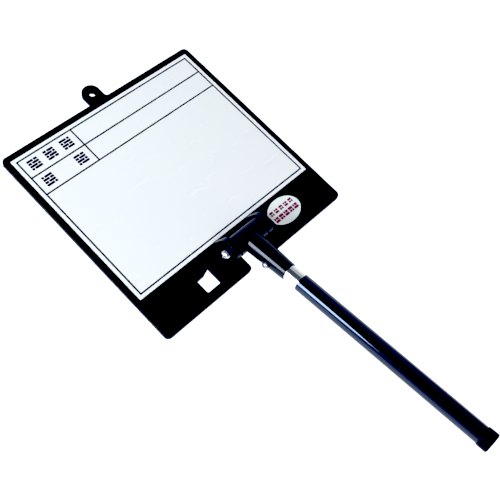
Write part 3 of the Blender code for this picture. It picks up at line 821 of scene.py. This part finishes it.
def make_clevis():
    """Bracket with two round-nosed ears on a flat base, drawn about the hinge axis."""
    ears = [make_ear(-EAR_OUTER, -EAR_INNER), make_ear(EAR_INNER, EAR_OUTER)]
    reach = EAR_INNER + BASE_OVERLAP
    base = block((-reach, BASE_FROM, BRACKET_FOOT), (reach, BASE_TO, BRACKET_FOOT + BASE_THICKNESS))
    clevis = weld(ears[0], base, ears[1])
    pocket_radius = (NUT_FLATS / 2 + FIT) / math.cos(math.pi / 6)
    pocket_low = along_bolt("hinge_nut")[0] - GAP
    pocket = carry(rod(pocket_radius, pocket_low, THROUGH, 6, math.pi / 6), across())
    soften(clevis, CLEVIS_BREAK, 4, 50)
    cut(clevis, hinge_bore(BOLT_BORE), pocket)
    round_edges(clevis, BORE_BREAK, 2, on_bore_rim)
    carry(clevis, ON_HINGE)
    complete(clevis, "hinge_clevis", MOULDING_BLACK, "board", ["hinge_bracket"])


def hinge_bore(radius):
    """Cutter for a hole of this radius through everything on the bolt."""
    return carry(rod(radius, -THROUGH, THROUGH, 64), across())


def on_bore_rim(p, d):
    """An edge of the bolt hole or of the nut pocket on an ear's outer side."""
    return near(abs(p.x), EAR_OUTER) and math.hypot(p.y, p.z) < BORE_REACH


def make_ear(low, high):
    """One ear: a slab whose top is drawn back and rounded over."""
    ear = block((low, -EYE_RADIUS, BRACKET_FOOT), (high, BASE_TO, EYE_RADIUS))
    shoulder = BRACKET_FOOT + BASE_THICKNESS + EAR_TOE
    pick(ear, "FACE", every_face)
    bpy.ops.mesh.bisect(plane_co=(0, 0, shoulder), plane_no=(0, 0, 1))
    done()

    def ridge(y, z):
        """A test for the edges across the ear at this place."""
        return lambda p, d: abs(d.x) > ALIGNED and near(p.y, y) and near(p.z, z)

    pick(ear, "EDGE", ridge(BASE_TO, EYE_RADIUS))
    bpy.ops.transform.translate(value=(0, EYE_BACK - BASE_TO, 0))
    done()
    round_edges(ear, EYE_FRONT_ROUND, 20, ridge(-EYE_RADIUS, EYE_RADIUS))
    round_edges(ear, EYE_BACK_ROUND, 16, ridge(EYE_BACK, EYE_RADIUS))
    round_edges(ear, EAR_TOE, 8, ridge(BASE_TO, shoulder))
    return ear


def pan_head(radius, height, shank_radius, shank_end, drive):
    """Domed screw head below z = 0 with a cross recess, and its shank above, both on Z."""
    arm, depth = drive
    profile = []
    for step in range(1, DOME_STEPS + 1):
        turn = math.pi / 2 * step / DOME_STEPS
        rise = HEAD_RIM + (1 - HEAD_RIM) * math.cos(turn)
        profile.append((radius * math.sin(turn), -height * rise))
    profile += [
        (radius, -HEAD_EDGE),
        (radius - HEAD_EDGE, 0),
        (shank_radius, 0),
        (shank_radius, shank_end - SHANK_POINT),
        (shank_radius - SHANK_POINT, shank_end),
    ]
    screw = turned(profile, 64)
    return cut(screw, cross_cutter(arm, arm * DRIVE_WIDTH, -height + depth, -height - PAST))


def make_pivot_bolt():
    low, high, radius = along_bolt("hinge_bolt")
    seat = along_bolt("spring_washer")[0] - GAP
    bolt = pan_head(radius, seat - low, BOLT_RADIUS, high - seat, BOLT_DRIVE)
    carry(bolt, ON_HINGE @ Matrix.Translation((seat, 0, 0)) @ across())
    complete(bolt, "pivot_bolt", CHROME, "board", ["hinge_bolt"])


def make_washers():
    low, high, radius = along_bolt("flat_washer")
    plain = tube(radius, radius - BOLT_BORE, low, high, 64)
    soften(plain, WASHER_BREAK, 2)
    carry(plain, ON_HINGE @ across())
    complete(plain, "plain_washer", DARK_ZINC, "board", ["flat_washer"])
    low, high, radius = along_bolt("spring_washer")
    split = tube(radius, radius - BOLT_BORE, low, high, 64)
    slot = block((0, -SPLIT_HALF, low - PAST), (SPLIT_REACH, SPLIT_HALF, high + PAST))
    middle = Vector((0, 0, (low + high) / 2))
    lean = Matrix.Rotation(SPLIT_LEAN, 4, "X")
    carry(slot, Matrix.Translation(middle) @ lean @ Matrix.Translation(-middle))
    cut(split, slot)
    soften(split, SPLIT_BREAK, 2)
    carry(split, ON_HINGE @ across())
    complete(split, "split_washer", DARK_ZINC, "board", ["spring_washer"])


def make_nut():
    """Hexagon nut with turned chamfers on its outer corners."""
    low, high, radius = along_bolt("hinge_nut")
    nut = rod(radius, low, high, 6, math.pi / 6)
    face_radius, face_rise = NUT_FACE
    chamfer = turned([
        (radius + PAST, low - PAST),
        (radius + PAST, high - NUT_CHAMFER),
        (face_radius, high + face_rise),
    ])
    modify(nut, "BOOLEAN", operation="INTERSECT", object=chamfer)
    bpy.data.objects.remove(chamfer)
    flare, flare_rise = THREAD_FLARE
    thread = turned([
        (BOLT_BORE, low - PAST),
        (BOLT_BORE, high - THREAD_LEAD),
        (BOLT_BORE + flare, high + flare_rise),
    ], 64)
    cut(nut, thread)
    carry(nut, ON_HINGE @ across())
    complete(nut, "hexagon_nut", CHROME, "board", ["hinge_nut"])


def make_rear_screws():
    """Countersunk screws, with their heads in the plate's back."""
    arm, width, depth = REAR_DRIVE
    for index, place in enumerate(rear_screw_places(), 1):
        low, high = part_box(f"bracket_screw_{index}")
        profile = [
            (REAR_HEAD_FACE, low.z),
            (REAR_HEAD_RADIUS, low.z + REAR_RIM[0]),
            (REAR_HEAD_RADIUS, low.z + REAR_RIM[1]),
            (REAR_SHANK_RADIUS, low.z + REAR_CONE_END),
            (REAR_SHANK_RADIUS, high.z - REAR_POINT),
            (REAR_POINT_RADIUS, high.z),
        ]
        screw = turned(profile, 48)
        cut(screw, cross_cutter(arm, width, low.z + depth, low.z - PAST))
        carry(screw, Matrix.Translation(place))
        complete(screw, f"rear_screw_{index}", CHROME, "board", [f"bracket_screw_{index}"])


# ---------------------------------------------------------------- handle

BARREL_RADIUS = 10.3 * MM
BARREL_RIM = 9 * MM  # the barrel's outer rim lies beyond this radius
SLEEVE_ROOT_RADIUS = 10.25 * MM
SLEEVE_ROOT = 8 * MM
SLEEVE_OVERLAP = 1 * MM  # the sleeve's start inside the barrel, and how much thinner it is there
SLEEVE_TIP_RADIUS = 8.4 * MM
MOUTH_OUTSIDE = 8.2 * MM  # the mouth's outer rim lies beyond this radius
MOUTH_INSIDE = 7.8 * MM  # and its inner rim within this one
BARREL_ROUND = 0.7 * MM
MOUTH_ROUND = 0.6 * MM
MOUTH_BREAK = 0.2 * MM
SOCKET_FLOOR = 12 * MM
SOCKET_SCREW_AT = 32 * MM
SOCKET_SCREW_HEAD_RADIUS = 3.4 * MM
SOCKET_SCREW_RADIUS = 1.5 * MM
SOCKET_SCREW_DRIVE = (1.8 * MM, 1.3 * MM)  # arm length and depth of the cross recess
SOCKET_SCREW_HOLE = (1.65 * MM, -30 * MM, -2 * MM)  # radius, and both ends along X
INNER_RADIUS = 7.5 * MM
INNER_WALL = 1 * MM
INNER_BREAK = 0.15 * MM
OUTER_WALL = 0.65 * MM
OUTER_ROUND = 0.28 * MM

CAP_SHOULDER = 4.8 * MM  # from the outer tube's end back to the cap's shoulder
CAP_MOUTH = 7.2 * MM  # and to its mouth
SPIGOT_RADIUS = 7.5 * MM
SPIGOT_WALL = 1.2 * MM
CAP_LIP = ((0.15 * MM, 0), (0.3 * MM, 0.25 * MM))  # out from the skirt, up from the mouth
CAP_SLOPE = ((0.08 * MM, -0.25 * MM), (0, 0.2 * MM))  # in from the side, up from the shoulder
CAP_ROUND = (  # in from the side, and down from the end
    (0, 0.9 * MM),
    (0.12 * MM, 0.45 * MM),
    (0.45 * MM, 0.12 * MM),
    (0.9 * MM, 0),
)
CAP_DIMPLE = ((2.6 * MM, 0), (2.3 * MM, 0.4 * MM))  # radius, and depth in the cap's end


def socket_screw_hole():
    """Cutter for the retaining screw, from the left into the tube."""
    radius, low, high = SOCKET_SCREW_HOLE
    place = Matrix.Translation((0, 0, SOCKET_SCREW_AT))
    return carry(rod(radius, low, high, 32), place @ across())


def make_socket():
    """Cross barrel on the bolt, with the tapered sleeve that holds the tube."""
    barrel_low, barrel_high = (end.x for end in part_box("tee_socket"))
    sleeve_end = along_pole("tee_socket")[1]
    barrel = carry(rod(BARREL_RADIUS, barrel_low, barrel_high, 128), across())
    sleeve = turned([
        (SLEEVE_ROOT_RADIUS - SLEEVE_OVERLAP, SLEEVE_OVERLAP),
        (SLEEVE_ROOT_RADIUS, SLEEVE_ROOT),
        (SLEEVE_TIP_RADIUS, sleeve_end),
    ], 128)
    socket = weld(barrel, sleeve)
    bore = rod(INNER_RADIUS + FIT, SOCKET_FLOOR, sleeve_end + PAST, 96)
    pivot = hinge_bore(along_bolt("pivot_sleeve")[2] + FIT)
    cut(socket, bore, pivot, socket_screw_hole())

    def on_outer_mouth(p, d):
        return near(p.z, sleeve_end) and math.hypot(p.x, p.y) > MOUTH_OUTSIDE

    def on_inner_mouth(p, d):
        return near(p.z, sleeve_end) and math.hypot(p.x, p.y) < MOUTH_INSIDE

    def on_barrel_end(p, d):
        return near(abs(p.x), barrel_high) and math.hypot(p.y, p.z) > BARREL_RIM

    round_edges(socket, MOUTH_ROUND, 3, on_outer_mouth)
    round_edges(socket, MOUTH_BREAK, 2, on_inner_mouth)
    round_edges(socket, BARREL_ROUND, 3, on_barrel_end)
    carry(socket, ON_POLE)
    complete(socket, "handle_socket", MOULDING_BLACK, "head", ["tee_socket"])


def make_retaining_screw():
    low, high = (end.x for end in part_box("socket_screw"))
    share = SOCKET_SCREW_AT / along_pole("tee_socket")[1]
    sleeve_radius = SLEEVE_ROOT_RADIUS + (SLEEVE_TIP_RADIUS - SLEEVE_ROOT_RADIUS) * share
    seat = -sleeve_radius - GAP
    head = (SOCKET_SCREW_HEAD_RADIUS, seat - low)
    screw = pan_head(*head, SOCKET_SCREW_RADIUS, high - seat, SOCKET_SCREW_DRIVE)
    carry(screw, ON_POLE @ Matrix.Translation((seat, 0, SOCKET_SCREW_AT)) @ across())
    complete(screw, "retaining_screw", DULL_ZINC, "head", ["socket_screw"])


def make_drawn_tube():
    low, high, radius = along_pole("inner_tube")
    drawn = tube(radius, INNER_WALL, low, high)
    soften(drawn, INNER_BREAK, 2, 60)
    cut(drawn, socket_screw_hole())
    carry(drawn, ON_POLE)
    complete(drawn, "drawn_tube", ALUMINIUM, "head", ["inner_tube"])


def make_lacquered_tube():
    """Outer tube, its mouth rolled smooth."""
    low, high, radius = along_pole("outer_tube")
    outer = tube(radius, OUTER_WALL, low, high)
    round_edges(outer, OUTER_ROUND, 4, lambda p, d: near(p.z, low) and abs(d.z) < CROSSWISE)
    carry(outer, ON_POLE)
    complete(outer, "lacquered_tube", LACQUER, "grip", ["outer_tube"])


def make_tip_cap():
    """Push-on cap: sloping shoulder, rounded end with a moulded dimple, spigot inside the tube."""
    low, high, radius = along_pole("end_cap")
    tube_end, tube_radius = along_pole("outer_tube")[1:]
    shoulder = tube_end - CAP_SHOULDER
    skirt = tube_radius + FIT
    mouth = tube_end - CAP_MOUTH
    floor = tube_end + GAP
    spigot_bore = SPIGOT_RADIUS - SPIGOT_WALL
    profile = [(spigot_bore, floor), (spigot_bore, low), (SPIGOT_RADIUS, low), (SPIGOT_RADIUS, floor)]
    profile += [(skirt, floor), (skirt, mouth)]
    profile += [(skirt + step, mouth + rise) for step, rise in CAP_LIP]
    profile += [(radius - step, shoulder + rise) for step, rise in CAP_SLOPE]
    profile += [(radius - step, high - drop) for step, drop in CAP_ROUND]
    profile += [(dimple, high - drop) for dimple, drop in CAP_DIMPLE]
    cap = turned(profile)
    carry(cap, ON_POLE)
    complete(cap, "tip_cap", RUBBER_BLACK, "grip", ["end_cap"])


# ---------------------------------------------------------------- frame nodes that stay


def dress_frame_nodes():
    looks = {
        FILM: ["writing_film"],
        STICKER: ["oval_sticker"],
        STEEL: ["steel_sheet", "pivot_sleeve"],
        TAPE: ["tape_strip_top", "tape_strip_middle", "tape_strip_bottom"],
        NYLON: ["tube_plug", "lock_ring"],
        MOULDING_BLACK: ["lock_spindle", "friction_washer_left", "friction_washer_right"],
    }
    for look, names in looks.items():
        for name in names:
            mesh = frame["nodes"][name].data
            mesh.materials.clear()
            mesh.materials.append(look)


# ---------------------------------------------------------------- studio

CAMERA_PLACE = Vector((-307.5, -230.3, 608.5)) * MM
CAMERA_RIGHT = Vector((0.69035, -0.69502, 0.20089))
CAMERA_UP = Vector((0.56909, 0.69313, 0.44238))
CAMERA_BACK = Vector((-0.44671, -0.19108, 0.87404))
CAMERA_LENS = 53.75
CAMERA_SENSOR = 36
CAMERA_CLIP = 10 * MM
FLOOR_DROP = 250 * MM
FLOOR_SIZE = 12
BOARD_MIDDLE = Vector((0, -80, 0)) * MM
POLE_MIDDLE = Vector((0, -200, 40)) * MM
BLACK_LEVEL = (0.052, 0.046, 0.022)
WHITE_LEVEL = (0.96, 0.96, 0.96)
SKY_FADE = (0.08, 0.34)  # heights between which the sky's level falls
SKY_LEVELS = (1.0, 0.14)
SKY_COLOUR = (0.97, 0.985, 1.0, 1)


def make_camera():
    camera = bpy.data.objects.new("camera", bpy.data.cameras.new("camera"))
    bpy.context.scene.collection.objects.link(camera)
    camera.data.lens = CAMERA_LENS
    camera.data.sensor_width = CAMERA_SENSOR
    camera.data.clip_start = CAMERA_CLIP
    turn = Matrix((CAMERA_RIGHT, CAMERA_UP, CAMERA_BACK)).transposed().to_4x4()
    camera.matrix_world = Matrix.Translation(CAMERA_PLACE) @ turn
    bpy.context.scene.camera = camera


def softbox(name, target, direction, distance, size, radiance, colour=(1, 1, 1)):
    """An upright light of this width and height that faces its target from this direction."""
    light = bpy.data.objects.new(name, bpy.data.lights.new(name, "AREA"))
    bpy.context.scene.collection.objects.link(light)
    light.data.shape = "RECTANGLE"
    light.data.size, light.data.size_y = size
    light.data.color = colour
    light.data.energy = radiance * math.pi * size[0] * size[1]
    back = Vector(direction).normalized()
    side = Vector((0, 0, 1)).cross(back).normalized()
    turn = Matrix((side, back.cross(side), back)).transposed().to_4x4()
    light.matrix_world = Matrix.Translation(target + back * distance) @ turn
    return light


def make_lights():
    softbox("front_softbox", BOARD_MIDDLE, (-0.50, -0.36, 0.79), distance=3.0, size=(1.6, 1.6),
            radiance=6.7)
    left = softbox("left_softbox", POLE_MIDDLE, (-0.845, 0.412, 0.342), distance=1.6,
                   size=(0.8, 0.88), radiance=12.5, colour=(0.82, 0.93, 1.0))
    left.data.shape = "ELLIPSE"
    softbox("right_fill", BOARD_MIDDLE, (0.72, 0.48, 0.50), distance=2.4, size=(2.4, 2.6),
            radiance=0.5)


def make_world():
    """Bright at and below the horizon, dark overhead."""
    world = bpy.data.worlds.new("studio")
    bpy.context.scene.world = world
    world.use_nodes = True
    tree = world.node_tree
    background = tree.nodes["Background"]
    direction = node(tree, "TexCoord").outputs["Generated"]
    height = node(tree, "SeparateXYZ", {"Vector": direction}).outputs["Z"]
    level = spread(tree, height, *SKY_FADE, *SKY_LEVELS)
    tree.links.new(level, background.inputs["Strength"])
    background.inputs["Color"].default_value = SKY_COLOUR


def make_floor():
    floor = added(bpy.ops.mesh.primitive_plane_add, size=FLOOR_SIZE, location=(0, 0, -FLOOR_DROP))
    floor.name = "floor"
    floor.data.materials.append(studio_floor())


def set_colour():
    settings = bpy.context.scene.view_settings
    settings.view_transform = "Standard"
    settings.look = "None"
    settings.exposure = 0.0
    settings.use_curve_mapping = True
    settings.curve_mapping.black_level = BLACK_LEVEL
    settings.curve_mapping.white_level = WHITE_LEVEL
    settings.curve_mapping.update()


def main():
    make_camera()
    set_colour()
    make_world()
    make_lights()
    make_floor()
    dress_frame_nodes()
    make_plate()
    make_form_print()
    make_label_print()
    make_sticker_print()
    make_clevis()
    make_pivot_bolt()
    make_washers()
    make_nut()
    make_rear_screws()
    make_socket()
    make_retaining_screw()
    make_drawn_tube()
    make_lacquered_tube()
    make_tip_cap()


main()
